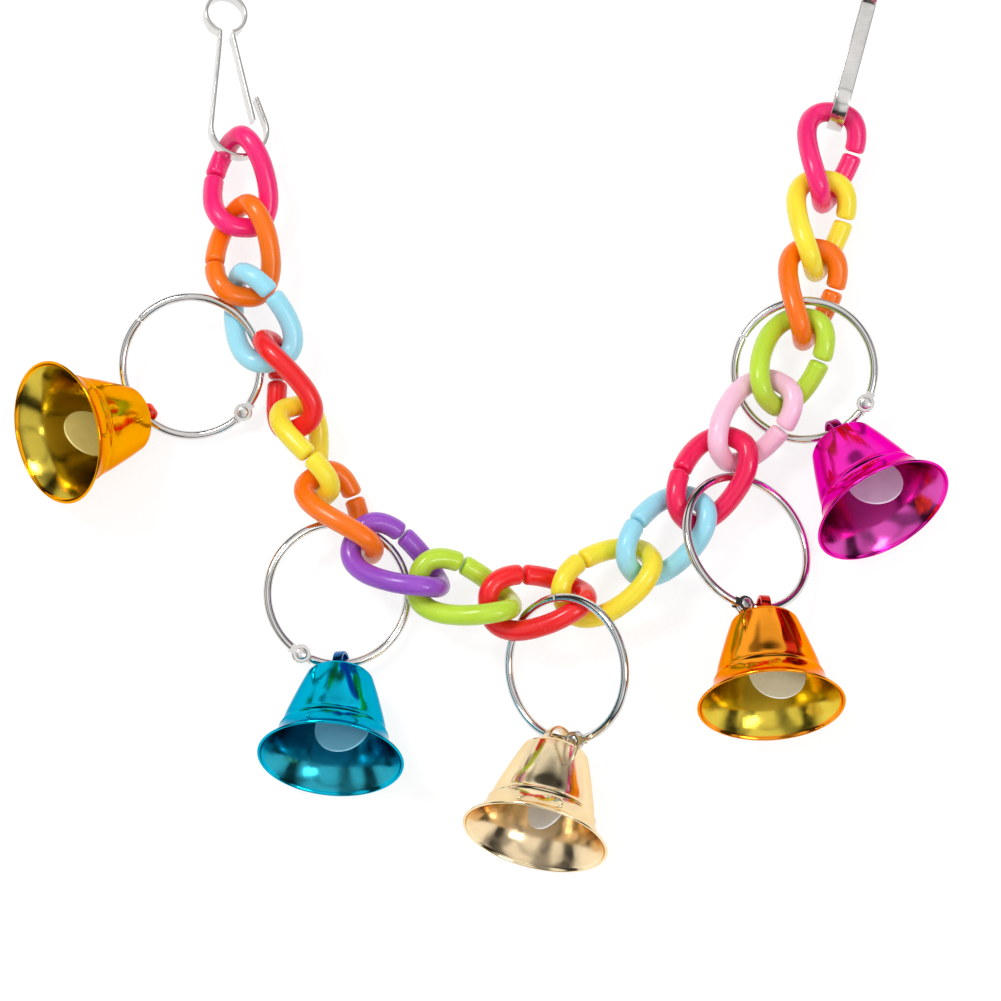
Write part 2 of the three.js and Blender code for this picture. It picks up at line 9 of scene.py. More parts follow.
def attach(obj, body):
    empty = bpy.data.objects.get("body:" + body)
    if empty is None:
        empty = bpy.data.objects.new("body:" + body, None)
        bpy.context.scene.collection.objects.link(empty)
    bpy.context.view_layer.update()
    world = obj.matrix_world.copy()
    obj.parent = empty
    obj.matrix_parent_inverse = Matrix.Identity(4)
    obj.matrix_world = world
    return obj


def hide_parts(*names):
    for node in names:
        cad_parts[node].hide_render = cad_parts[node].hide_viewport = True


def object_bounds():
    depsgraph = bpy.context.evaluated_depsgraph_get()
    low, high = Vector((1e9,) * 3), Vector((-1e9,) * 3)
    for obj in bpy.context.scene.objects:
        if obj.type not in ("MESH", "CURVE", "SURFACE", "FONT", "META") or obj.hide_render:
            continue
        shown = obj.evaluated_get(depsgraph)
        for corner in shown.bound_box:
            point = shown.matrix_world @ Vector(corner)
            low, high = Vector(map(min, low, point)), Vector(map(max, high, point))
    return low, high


# Looks of the chain toy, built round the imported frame: finely curved pieces in place of the faceted ones,
# their finishes, the floor, the light and the camera. Metres, +Z up; plain turns are in degrees.
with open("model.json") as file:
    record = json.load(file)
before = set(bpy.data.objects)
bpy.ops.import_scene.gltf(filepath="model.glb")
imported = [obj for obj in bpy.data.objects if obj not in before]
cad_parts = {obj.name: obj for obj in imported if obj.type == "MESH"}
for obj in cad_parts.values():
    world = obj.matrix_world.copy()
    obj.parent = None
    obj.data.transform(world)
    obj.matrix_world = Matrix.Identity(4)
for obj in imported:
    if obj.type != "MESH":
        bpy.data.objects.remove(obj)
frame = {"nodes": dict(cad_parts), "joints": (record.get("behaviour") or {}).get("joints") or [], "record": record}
cad_box = [list(corner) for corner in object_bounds()]

MM = 0.001

# Meshes: points closer than the weld are one, and an edge sharper than its angle is drawn as an edge. A
# turned outline stops just short of its axis.
WELD = 1e-7
SHARP_EDGE = 35
BELL_SHARP_EDGE = 50
AXIS_GAP = 1e-5
SQUARE = ((-1, -1), (1, -1), (1, 1), (-1, 1))

# Twisted link. The probe is the angle over which the bar's pace at the slit is measured, and the span is
# how many samples before and after a point give the bar's direction there.
LINK_LENGTH = 42.2 * MM
LINK_WIDTH = 28.3 * MM
LINK_BAR = 7.5 * MM
CHAIN_SLACK = 0.7 * MM
LINK_TWIST = 42
LINK_SQUARENESS = 0.7
LINK_SLIT = 1.0 * MM
LINK_SLIT_OFFSET = 4.5 * MM
LINK_SLIT_PROBE = 0.01
LINK_SIDES = 28
LINK_STEPS = 120
LINK_SAMPLES = 1600
LINK_WAY_SPAN = 6
LINK_END_ROUND = 1.5 * MM
LINK_END_STEPS = 6
PARTING_LINE = 0.07 * MM

# Taken off the radius of bar and wire: the solids are slimmer between their corners than full circles, and
# the round pieces have to clear each other as the solids do
BAR_EASE = 0.1 * MM
WIRE_EASE = 0.05 * MM

# Hinged ring
RING_OUTER = 53.4 * MM
RING_WIRE = 3.2 * MM
RING_SIDES = 24
RING_STEPS = 72
SEAM_GAP = 0.3 * MM
SEAM_ROUND = 0.45 * MM
TONGUE = 1.0 * MM
EAR_GAP = 0.3 * MM
EAR_DIAMETER = 6.4 * MM
EAR_REACH = 4.4 * MM
EAR_BEVEL = 0.16 * MM
EAR_STEPS = 44
WIRE_INTO_EAR = 1.0 * MM
RIVET_SHAFT = 2.0 * MM
RIVET_HEAD = 4.2 * MM
RIVET_DOME = 0.6 * MM
RIVET_DOME_STEPS = 8
RIVET_SEGMENTS = 40

# Bell. Its outline is given as shares of the reach from crown to mouth and of the height: inside the
# solid's and straighter, with a rolled lip and a raised bead.
BELL_MOUTH = 51 * MM
BELL_HEIGHT = 34.3 * MM
BELL_WALL = 0.8 * MM
BELL_CROWN = 19.2 * MM
BELL_SEGMENTS = 112
BELL_OUTLINE = [
    (1.0, 0.0), (0.975, 0.025), (0.82, 0.1), (0.665, 0.21), (0.57, 0.33), (0.485, 0.48), (0.38, 0.64),
    (0.275, 0.79), (0.175, 0.92), (0.14, 0.96), (0.075, 0.99), (0.0, 1.0),
]
BELL_OUTLINE_STEPS = 8
BEAD_HEIGHT = 10.2 * MM
BEAD_RISE = 0.32 * MM
BEAD_WIDTH = 0.55 * MM
LIP_ROUND = 0.5 * MM
LIP_STEPS = 8
CROWN_EDGE = 1.2 * MM
SLOT_CUT_DEPTH = 6 * BELL_WALL

# Hanger
HANGER_WIDTH = 3.5 * MM
HANGER_STRIP = 1.2 * MM
HANGER_OUTER = 12 * MM
HANGER_ARCH_RISE = 3.4 * MM
HANGER_ARCH_STEPS = 28
HANGER_FOOT_DROP = 5.2 * MM
HANGER_CORNER = 2.2 * MM
HANGER_CORNER_STEPS = 8
HANGER_WIRE_PLAY = 1.6 * MM
STRIP_ROUND = 0.35 * MM
STRIP_ROUND_STEPS = 3

# Clapper
CLAPPER_THICKNESS = 0.8 * MM
CLAPPER_LOBE = 20.2 * MM
CLAPPER_LOBE_STEPS = 48
CLAPPER_TOP = 12.2 * MM
CLAPPER_TOP_STEPS = 12
CLAPPER_WAIST = 10 * MM
CLAPPER_SHOULDER = 40
CLAPPER_EYE = 7.2 * MM
CLAPPER_EYE_STEPS = 32
CLAPPER_SLOT = 2.4 * MM
CLAPPER_MOUTH_GAP = 3 * MM
CLAPPER_LEAN = 12
CLAPPER_BEVEL = 0.18 * MM

# Snap hook. Its bends are softened by cutting every corner at this share of its sides, twice over.
HOOK_STRIP = 1.2 * MM
HOOK_STRIP_WIDTH = 5.6 * MM
HOOK_HEAD = 16 * MM
HOOK_HEAD_STEPS = 40
HOOK_NECK = 4.2 * MM
HOOK_LENGTH = 49 * MM
HOOK_BOW = 22 * MM
HOOK_BOW_SHIFT = 2.6 * MM
HOOK_BOW_FROM = 172
HOOK_BOW_TO = 375
HOOK_BOW_STEPS = 36
HOOK_CORNER_CUT = 0.25
HOOK_CUT_ROUNDS = 2
HOOK_GATE_INSET = 5.5 * MM
HOOK_CATCH_DROP = 25.5 * MM
HOOK_CATCH_LAP = 9 * MM
GATE_ROOT_GAP = 0.9 * MM
GATE_STEPS = 12

# Each link's turn about its length, its height in mm over the chain's middle, and where its slit is: side 1
# is the inside of the arc, way 1 is on along the chain
LINKS = [
    (-16, 0, -1, -1), (-14.6, 0.7, -1, 1), (-28.6, 0.6, 1, -1), (-69.5, 1, -1, -1), (74.9, 0.5, -1, 1),
    (59.6, -0.1, 1, -1), (31.1, 1.3, 1, -1), (26.2, 1.3, 1, -1), (19.6, 0.4, 1, -1), (5.5, -0.4, 1, -1),
    (-7.2, -0.2, 1, -1), (-8.6, 0.2, 1, -1), (-13.9, 0.2, -1, 1), (-10, 0, -1, 1), (-39, 0, -1, 1),
    (-36, 0, -1, 1), (-38, 0, -1, 1),
]
ROOT_LINK = 9

# Colours
PLASTIC = {
    "pink": "#fa2478", "orange": "#ff7606", "blue": "#a2e6fa", "red": "#f62024", "yellow": "#ffe83a",
    "purple": "#9c50c8", "green": "#c2e43e", "crimson": "#f41a58", "rose": "#ffc8e0",
}
NICKEL = "#dedbd8"
# The clapper colours are paler than the clappers' own plating. This is painted reflection, standing in for the
# bright studio that the clappers mirror.
BELLS = {
    1: {"outside": "#f4a410", "inside": "#ccb444", "hanger": "#e8341c", "clapper": "#efdb86"},
    2: {"outside": "#0eb0d0", "inside": "#30a4ba", "hanger": "#1a68a8", "clapper": "#98e0ff"},
    3: {"outside": "#f8e2b8", "inside": "#f4dab0", "hanger": "#f0dcbc", "clapper": "#ffffff"},
    4: {"outside": "#fa9a28", "inside": "#e4c848", "hanger": "#e82a1c", "clapper": "#fdf6e6"},
    5: {"outside": "#f02cb4", "inside": "#dc54b4", "hanger": "#b81c8c", "clapper": "#ffe2ff"},
}

# Finishes: the span in which most noise lies, where a colour's darker and paler ends start, how white the
# lacquered plating turns at a grazing angle, and how finely the bells were turned
NOISE_SPAN = (0.3, 0.7)
CLOUD_EDGE = 0.25
PLASTIC_CLOUD_EDGE = 0.3
EDGE_WHITE = 0.3
TURNING_RINGS = 2600

# Floor: its colour as a plain surface, and the shade and glow that a camera or a mirror sees on it
FLOOR_REACH = 4
FLOOR_COLOUR = 0.86
FLOOR_SHADOW = 0.3
FLOOR_GLOW = 0.78

# Light: the strength of the even sky, and the studio that bright pieces mirror, as levels from straight
# down (0) to straight up (1), darkened by this share of the levels from -X (0) to +X (1)
SKY_LIGHT = 0.68
MIRRORED_BANDS = [
    (0.0, 0.95), (0.13, 0.85), (0.18, 0.05), (0.46, 0.04), (0.56, 0.95), (0.8, 1.0), (0.87, 0.5), (0.93, 1.0),
]
MIRRORED_PANELS = [
    (0.0, 1.0), (0.18, 1.0), (0.24, 0.16), (0.36, 0.16), (0.42, 1.0), (0.7, 1.0), (0.76, 0.2), (0.84, 0.2),
    (0.9, 1.0),
]
PANEL_SHARE = 0.8

# Lamps: name, place, size and power
LAMPS = [
    ("key_light", (-0.7, 0.5, 1.3), (0.5, 0.3), 9),
    ("fill_light", (0.8, -0.5, 1.2), (0.3, 0.6), 4),
]

# Camera: how far it stands off, how far it leans back from straight down, what one pixel covers, and where
# its line of sight meets the chain's level, from the middle of the root link
IMAGE = 1001
CAMERA_AWAY = 0.9
CAMERA_TILT = 12
PIXEL = 0.357 * MM
SIGHT_FROM_ROOT = Vector((-13.10, 36.43, 0)) * MM
SENSOR = 36

link_half_length = (LINK_LENGTH - LINK_BAR) / 2
link_half_width = (LINK_WIDTH - LINK_BAR) / 2
link_pitch = LINK_LENGTH - 2 * LINK_BAR - CHAIN_SLACK
ring_radius = (RING_OUTER - RING_WIRE) / 2
hanger_inner = HANGER_OUTER / 2 - HANGER_STRIP
arch_centre = BELL_HEIGHT + HANGER_ARCH_RISE
wire_pivot = arch_centre + hanger_inner - RING_WIRE / 2 - HANGER_WIRE_PLAY
foot_centre = BELL_HEIGHT - BELL_WALL - HANGER_FOOT_DROP - HANGER_STRIP / 2
bow_radius = HOOK_BOW / 2
neck_height = HOOK_LENGTH - bow_radius
gate_x = bow_radius - HOOK_GATE_INSET

UP = Vector((0, 0, 1))
joints = {joint["name"]: joint for joint in frame["joints"]}
body_of = {node: body for body, nodes in frame["record"]["behaviour"]["bodies"].items() for node in nodes}


def pivot(name):
    return Vector(joints[name]["pos_m"])


def axis(name):
    return Vector(joints[name]["axis"]).normalized()


def placed(x, y, z, origin):
    return Matrix.Translation(origin) @ Matrix((x, y, z)).transposed().to_4x4()


# Meshes: a skin over rings of points
def skin(rings, around=False):
    count = len(rings[0])
    verts = [point for ring in rings for point in ring]
    faces = []
    for i in range(len(rings) if around else len(rings) - 1):
        a = i * count
        b = ((i + 1) % len(rings)) * count
        for j in range(count):
            k = (j + 1) % count
            faces.append((a + j, a + k, b + k, b + j))
    if not around:
        faces.append(tuple(range(count)))
        faces.append(tuple(range(len(verts) - count, len(verts))))
    return verts, faces


def lathe(profile, segments):
    """A closed outline turned about Z."""
    rings = []
    for i in range(segments):
        angle = 2 * math.pi * i / segments
        rings.append([Vector((x * math.cos(angle), x * math.sin(angle), z)) for x, z in profile])
    verts, faces = skin(rings, True)
    return verts, [(a, d, c, b) for a, b, c, d in faces]


def joined(parts):
    verts = []
    faces = []
    for part_verts, part_faces in parts:
        base = len(verts)
        verts.extend(part_verts)
        faces.extend(tuple(base + i for i in face) for face in part_faces)
    return verts, faces


def mesh_from(name, parts, sharp=SHARP_EDGE):
    verts, faces = joined(parts)
    mesh = bpy.data.meshes.new(name)
    mesh.from_pydata([tuple(v) for v in verts], [], faces)
    work = bmesh.new()
    work.from_mesh(mesh)
    bmesh.ops.remove_doubles(work, verts=work.verts, dist=WELD)
    bmesh.ops.recalc_face_normals(work, faces=work.faces)
    for face in work.faces:
        face.smooth = True
    for edge in work.edges:
        if len(edge.link_faces) == 2 and edge.calc_face_angle(0) > math.radians(sharp):
            edge.smooth = False
    work.to_mesh(mesh)
    work.free()
    return mesh


# Outlines
def circle(radius, sides):
    return [(radius * math.cos(2 * math.pi * i / sides), radius * math.sin(2 * math.pi * i / sides))
            for i in range(sides)]


def rounded_box(width, height, corner, steps):
    points = []
    for cx, cy, start in ((1, 1, 0), (-1, 1, 90), (-1, -1, 180), (1, -1, 270)):
        for i in range(steps + 1):
            angle = math.radians(start + 90 * i / steps)
            points.append((cx * (width / 2 - corner) + corner * math.cos(angle),
                           cy * (height / 2 - corner) + corner * math.sin(angle)))
    return points


def arc(cx, cy, radius, start, end, steps):
    return [Vector((cx + radius * math.cos(math.radians(start + (end - start) * i / steps)),
                    cy + radius * math.sin(math.radians(start + (end - start) * i / steps))))
            for i in range(steps + 1)]


def inset(outline, distance):
    """A closed outline drawn in by the distance."""
    points = []
    for i, point in enumerate(outline):
        before = (point - outline[i - 1]).normalized()
        after = (outline[(i + 1) % len(outline)] - point).normalized()
        way = (before + after).normalized()
        points.append(Vector((point.x - way.y * distance, point.y + way.x * distance)))
    return points


def open_offset(path, distance):
    """An open outline moved to its left by the distance."""
    points = []
    for i, point in enumerate(path):
        way = (path[min(i + 1, len(path) - 1)] - path[max(i - 1, 0)]).normalized()
        points.append(Vector((point.x - way.y * distance, point.y + way.x * distance)))
    return points


def smooth_through(points, steps):
    """A curve through the points, each stretch shaped by its neighbours, after Catmull and Rom."""
    ends = [points[0] * 2 - points[1], *points, points[-1] * 2 - points[-2]]
    curve = []
    for i in range(1, len(ends) - 2):
        a, b, c, d = ends[i - 1:i + 3]
        for n in range(steps):
            t = n / steps
            curve.append(0.5 * (2 * b + (c - a) * t + (2 * a - 5 * b + 4 * c - d) * t ** 2
                                + (3 * b - a - 3 * c + d) * t ** 3))
    curve.append(points[-1].copy())
    return curve


def softened(path):
    """An open path with its corners cut, its two ends kept."""
    for _ in range(HOOK_CUT_ROUNDS):
        inner = []
        for a, b in zip(path, path[1:]):
            inner += [a.lerp(b, HOOK_CORNER_CUT), a.lerp(b, 1 - HOOK_CORNER_CUT)]
        path = [path[0], *inner[1:-1], path[-1]]
    return path


# Plates and strips
def at_height(outline, z):
    return [Vector((p.x, p.y, z)) for p in outline]


def plate(outline, low, high, bevel):
    small = inset(outline, bevel)
    return skin([at_height(small, low), at_height(outline, low + bevel),
                 at_height(outline, high - bevel), at_height(small, high)])


def blunt_ends(rings, size):
    """Moves each end ring in by the size and puts a smaller ring in its place, so that the edge is worn."""
    def capped(ring, inner):
        middle = sum(ring, Vector((0, 0, 0))) / len(ring)
        way = (middle - sum(inner, Vector((0, 0, 0))) / len(inner)).normalized()
        reach = max((p - middle).length for p in ring)
        small = [middle + (p - middle) * (1 - size / reach) for p in ring]
        return [p - way * size for p in ring], small
    first, first_cap = capped(rings[0], rings[1])
    last, last_cap = capped(rings[-1], rings[-2])
    return [first_cap, first, *rings[1:-1], last, last_cap]


def along_strip(path, thickness, width, closed=False):
    section = rounded_box(thickness, width, STRIP_ROUND, STRIP_ROUND_STEPS)
    rings = []
    for i, point in enumerate(path):
        before = path[i - 1] if closed or i > 0 else point
        after = path[(i + 1) % len(path)] if closed or i < len(path) - 1 else point
        way = (after - before).normalized()
        out = Vector((way.y, -way.x))
        rings.append([Vector((point.x + out.x * a, point.y + out.y * a, b)) for a, b in section])
    if not closed:
        rings = blunt_ends(rings, STRIP_ROUND / 2)
    return skin(rings, closed)


# Twisted link
def link_point(angle, roll):
    def curve(value):
        return math.copysign(abs(value) ** LINK_SQUARENESS, value)
    along = link_half_length * curve(math.cos(angle))
    side = link_half_width * curve(math.sin(angle))
    turn = -math.radians(roll + LINK_TWIST * along / link_half_length)
    return Vector((along, side * math.cos(turn), side * math.sin(turn))), turn


def link_path(roll, slit_side, slit_way):
    """The bar's middle line from the slit round to the slit: its points and turns, and how far on each is."""
    reach = (LINK_SLIT_OFFSET / link_half_length) ** (1 / LINK_SQUARENESS)
    slit = slit_side * math.acos(slit_way * reach)
    ahead = link_point(slit + LINK_SLIT_PROBE, roll)[0]
    behind = link_point(slit - LINK_SLIT_PROBE, roll)[0]
    pace = (ahead - behind).length / (2 * LINK_SLIT_PROBE)
    half = LINK_SLIT / 2 / pace
    start, end = slit + half, slit + 2 * math.pi - half
    samples = [link_point(start + (end - start) * i / LINK_SAMPLES, roll) for i in range(LINK_SAMPLES + 1)]
    lengths = [0.0]
    for (a, _), (b, _) in zip(samples, samples[1:]):
        lengths.append(lengths[-1] + (b - a).length)
    return samples, lengths


def link_stations(total):
    """How far on each ring of points is, and what is cut off its radius, which rounds the two ends."""
    tilts = [math.pi / 2 * i / LINK_END_STEPS for i in range(LINK_END_STEPS)]
    nose = [(LINK_END_ROUND * (1 - math.cos(tilt)), LINK_END_ROUND * (1 - math.sin(tilt))) for tilt in tilts]
    plain = total - 2 * LINK_END_ROUND
    middle = [(LINK_END_ROUND + plain * i / LINK_STEPS, 0) for i in range(LINK_STEPS + 1)]
    return [*nose, *middle, *((total - far, cut) for far, cut in reversed(nose))]


def link_mesh(name, roll, slit_side, slit_way):
    samples, lengths = link_path(roll, slit_side, slit_way)
    rings = []
    at = 0
    for far, cut in link_stations(lengths[-1]):
        while at < LINK_SAMPLES - 1 and lengths[at + 1] < far:
            at += 1
        share = (far - lengths[at]) / (lengths[at + 1] - lengths[at])
        point = samples[at][0].lerp(samples[at + 1][0], share)
        turn = samples[at][1]
        behind = samples[max(at - LINK_WAY_SPAN, 0)][0]
        ahead = samples[min(at + LINK_WAY_SPAN, LINK_SAMPLES)][0]
        way = (ahead - behind).normalized()
        flat = Vector((0, -math.sin(turn), math.cos(turn)))
        up = (flat - way * flat.dot(way)).normalized()
        out = way.cross(up)
        ring = []
        for k in range(LINK_SIDES):
            angle = 2 * math.pi * k / LINK_SIDES
            ridge = PARTING_LINE if k in (0, LINK_SIDES // 2) else 0
            radius = LINK_BAR / 2 - BAR_EASE - cut + ridge
            ring.append(point + out * (radius * math.cos(angle)) + up * (radius * math.sin(angle)))
        rings.append(ring)
    return mesh_from(name, [skin(rings)])


def link_places():
    """The node, middle and travel direction of each link, from the joints between the links."""
    names = {int(node.split("_")[1]): node for node in frame["nodes"] if node.startswith("link_")}
    last = len(names)
    between = {k: pivot(names[k + 1 if k >= ROOT_LINK else k] + "_bend") for k in range(1, last)}
    places = {}
    for k in range(1, last + 1):
        if k == 1:
            way = (between[1] - pivot("left_hook_swing")).normalized()
            middle = between[1] - way * link_pitch / 2
        elif k == last:
            way = (pivot("right_hook_swing") - between[k - 1]).normalized()
            middle = between[k - 1] + way * link_pitch / 2
        else:
            way = (between[k] - between[k - 1]).normalized()
            middle = (between[k] + between[k - 1]) / 2
        places[k] = (names[k], middle, way)
    return places


# Hinged ring: hinge at -X and seam at +X, the half that swings on the +Y side
def ring_wire(side):
    start = math.pi - (EAR_REACH - WIRE_INTO_EAR) / ring_radius
    seam = SEAM_GAP / 2 / ring_radius
    section = circle(RING_WIRE / 2 - WIRE_EASE, RING_SIDES)
    rings = []
    for i in range(RING_STEPS + 1):
        angle = side * (start + (seam - start) * i / RING_STEPS)
        out = Vector((math.cos(angle), math.sin(angle), 0))
        rings.append([out * (ring_radius + a) + UP * b for a, b in section])
    return skin(blunt_ends(rings, SEAM_ROUND))


def ear(side, low, high):
    radius = EAR_DIAMETER / 2
    half = RING_WIRE / 2
    corner = math.degrees(math.acos(half / radius))
    outline = arc(0, 0, radius, 180 - corner, 360 + corner, EAR_STEPS)
    outline += [Vector((half, EAR_REACH)), Vector((-half, EAR_REACH))]
    if side < 0:
        outline = [Vector((p.x, -p.y)) for p in reversed(outline)]
    eye = [p.normalized() * (RIVET_SHAFT / 2) for p in outline]
    small = inset(outline, EAR_BEVEL)
    rings = [at_height(eye, low), at_height(small, low), at_height(outline, low + EAR_BEVEL),
             at_height(outline, high - EAR_BEVEL), at_height(small, high), at_height(eye, high)]
    verts, faces = skin(rings, True)
    return [v + Vector((-ring_radius, 0, 0)) for v in verts], faces


def ring_half_mesh(name, side, forked):
    half = RING_WIRE / 2
    layers = [(-TONGUE / 2, TONGUE / 2)]
    if forked:
        layers = [(-half, -TONGUE / 2 - EAR_GAP), (TONGUE / 2 + EAR_GAP, half)]
    return mesh_from(name, [ring_wire(side), *[ear(side, low, high) for low, high in layers]])


def rivet_mesh(name):
    grip = RING_WIRE / 2 + EAR_GAP
    upper = []
    for i in range(RIVET_DOME_STEPS + 1):
        angle = math.radians(90 * i / RIVET_DOME_STEPS)
        upper.append((max(RIVET_HEAD / 2 * math.sin(angle), AXIS_GAP), grip + RIVET_DOME * math.cos(angle)))
    upper.append((RIVET_SHAFT / 2, grip))
    lower = [(x, -z) for x, z in reversed(upper)]
    return mesh_from(name, [lathe([*upper, *lower], RIVET_SEGMENTS)])


# Bell: mouth at z = 0, crown up
def bell_profiles():
    crown = BELL_CROWN / 2
    reach = BELL_MOUTH / 2 - crown
    points = [Vector((crown + reach * out, BELL_HEIGHT * up)) for out, up in BELL_OUTLINE]
    plain = smooth_through(points, BELL_OUTLINE_STEPS)
    outer = [p.copy() for p in plain]
    for p in outer:
        p.x += BEAD_RISE * math.exp(-((p.y - BEAD_HEIGHT) / BEAD_WIDTH) ** 2)
    inner = [Vector((p.x, min(max(p.y, 0), BELL_HEIGHT - BELL_WALL))) for p in open_offset(plain, BELL_WALL)]
    return outer, inner


def bell_mesh(name):
    outer, inner = bell_profiles()
    lip = arc(outer[0].x - LIP_ROUND, LIP_ROUND, LIP_ROUND, 0, -180, LIP_STEPS)
    outer = [p for p in outer if p.y > LIP_ROUND]
    inner = [p for p in inner if p.y > LIP_ROUND * 2]
    crown = [Vector((BELL_CROWN / 2 - CROWN_EDGE, BELL_HEIGHT)), Vector((AXIS_GAP, BELL_HEIGHT))]
    under = Vector((AXIS_GAP, BELL_HEIGHT - BELL_WALL))
    profile = [*lip[::-1], *outer, *crown, under, *inner[::-1]]
    mesh = mesh_from(name, [lathe([(p.x, p.y) for p in profile], BELL_SEGMENTS)], BELL_SHARP_EDGE)
    cut_slots(mesh)
    turned = mesh.attributes.new("turned", "FLOAT", "POINT")
    turned.data.foreach_set("value", [v.co.z for v in mesh.vertices])
    paint_inside(mesh)
    return mesh


def paint_inside(mesh):
    """Gives the second material to what looks down or inwards, between the lip and the top of the crown."""
    for face in mesh.polygons:
        middle = face.center
        outward = Vector((middle.x, middle.y, 0)).normalized()
        inside = face.normal.z + face.normal.dot(outward) < 0
        within = LIP_ROUND * 2 < middle.z <= BELL_HEIGHT - BELL_WALL / 2
        face.material_index = 1 if inside and within else 0


def cut_slots(mesh):
    """Cuts the two slots for the hanger through the crown."""
    body = bpy.data.objects.new("bell_blank", mesh)
    bpy.context.scene.collection.objects.link(body)
    side = (HANGER_OUTER - HANGER_STRIP) / 2
    size = Vector((HANGER_STRIP + 2 * EAR_GAP, HANGER_WIDTH + 2 * EAR_GAP, SLOT_CUT_DEPTH)) / 2
    low, high = BELL_HEIGHT - size.z, BELL_HEIGHT + size.z
    boxes = []
    for x in (-side, side):
        outline = [Vector((x + a * size.x, b * size.y)) for a, b in SQUARE]
        boxes.append(skin([at_height(outline, low), at_height(outline, high)]))
    cutter = bpy.data.objects.new("slot_cutter", mesh_from("slot_cutter", boxes))
    bpy.context.scene.collection.objects.link(cutter)
    cut = body.modifiers.new("slots", "BOOLEAN")
    cut.operation = "DIFFERENCE"
    cut.solver = "EXACT"
    cut.object = cutter
    bpy.context.view_layer.update()
    done = bpy.data.meshes.new_from_object(body.evaluated_get(bpy.context.evaluated_depsgraph_get()))
    work = bmesh.new()
    work.from_mesh(done)
    work.to_mesh(mesh)
    work.free()
    bpy.data.objects.remove(body)
    bpy.data.objects.remove(cutter)
    bpy.data.meshes.remove(done)


def hanger_mesh(name):
    half = (HANGER_OUTER - HANGER_STRIP) / 2
    corner = HANGER_CORNER - HANGER_STRIP / 2
    path = arc(0, arch_centre, half, 0, 180, HANGER_ARCH_STEPS)
    path += arc(-half + corner, foot_centre + corner, corner, 180, 270, HANGER_CORNER_STEPS)
    path += arc(half - corner, foot_centre + corner, corner, 270, 360, HANGER_CORNER_STEPS)
    verts, faces = along_strip(path, HANGER_STRIP, HANGER_WIDTH, True)
    return mesh_from(name, [([Vector((v.x, -v.z, v.y)) for v in verts], faces)])


def clapper_mesh(name):
    eye = CLAPPER_EYE / 2
    top = CLAPPER_TOP / 2
    waist = CLAPPER_WAIST / 2
    lobe = CLAPPER_LOBE / 2
    shoulder = math.radians(CLAPPER_SHOULDER)
    eye_y = -(eye - math.hypot(HANGER_WIDTH, HANGER_STRIP) / 2 - EAR_GAP)
    lobe_y = lobe + CLAPPER_MOUTH_GAP - foot_centre
    waist_y = lobe_y + lobe * (math.sin(shoulder) + math.cos(shoulder)) - waist
    horn = math.degrees(math.asin(CLAPPER_SLOT / 2 / top))
    throat = math.degrees(math.asin(CLAPPER_SLOT / 2 / eye))
    outline = arc(0, eye_y, top, 90 + horn, 180, CLAPPER_TOP_STEPS)
    outline.append(Vector((-waist, waist_y)))
    outline += arc(0, lobe_y, lobe, 180 - CLAPPER_SHOULDER, 360 + CLAPPER_SHOULDER, CLAPPER_LOBE_STEPS)
    outline.append(Vector((waist, waist_y)))
    outline += arc(0, eye_y, top, 0, 90 - horn, CLAPPER_TOP_STEPS)
    outline += arc(0, eye_y, eye, 90 - throat, -270 + throat, CLAPPER_EYE_STEPS)
    half = CLAPPER_THICKNESS / 2
    return mesh_from(name, [plate(outline, -half, half, CLAPPER_BEVEL)])


# Snap hook, bent in the XY plane, the middle of its bow at the origin and its head towards +Y
def hook_mesh(name):
    head_radius = (HOOK_HEAD - HOOK_STRIP) / 2
    spread = math.asin(HOOK_NECK / 2 / head_radius)
    opening = math.degrees(spread)
    head_centre = neck_height + head_radius * math.cos(spread)
    head = arc(-HOOK_BOW_SHIFT, head_centre, head_radius, -90 + opening, 270 - opening, HOOK_HEAD_STEPS)
    bow = arc(0, 0, bow_radius - HOOK_STRIP / 2, HOOK_BOW_FROM, HOOK_BOW_TO, HOOK_BOW_STEPS)
    catch = Vector((gate_x + HOOK_STRIP + EAR_GAP, neck_height - HOOK_CATCH_DROP))
    return mesh_from(name, [along_strip(softened([*head, *bow, catch]), HOOK_STRIP, HOOK_STRIP_WIDTH)])


def gate_root():
    return Vector((HOOK_NECK / 2 - HOOK_BOW_SHIFT, neck_height - GATE_ROOT_GAP))


def gate_mesh(name):
    low = Vector((gate_x, neck_height - HOOK_CATCH_DROP - HOOK_CATCH_LAP))
    path = [gate_root().lerp(low, i / GATE_STEPS) for i in range(GATE_STEPS + 1)]
    return mesh_from(name, [along_strip(path, HOOK_STRIP, HOOK_STRIP_WIDTH)])


# Finishes
def srgb(code):
    """The linear colour of a screen code, by the sRGB curve."""
    channels = [int(code[i:i + 2], 16) / 255 for i in (1, 3, 5)]
    return [c / 12.92 if c <= 0.04045 else ((c + 0.055) / 1.055) ** 2.4 for c in channels] + [1.0]


def scaled(colour, share):
    return [min(c * share, 1.0) for c in colour[:3]] + [1.0]


def grey(level):
    return (level, level, level, 1)


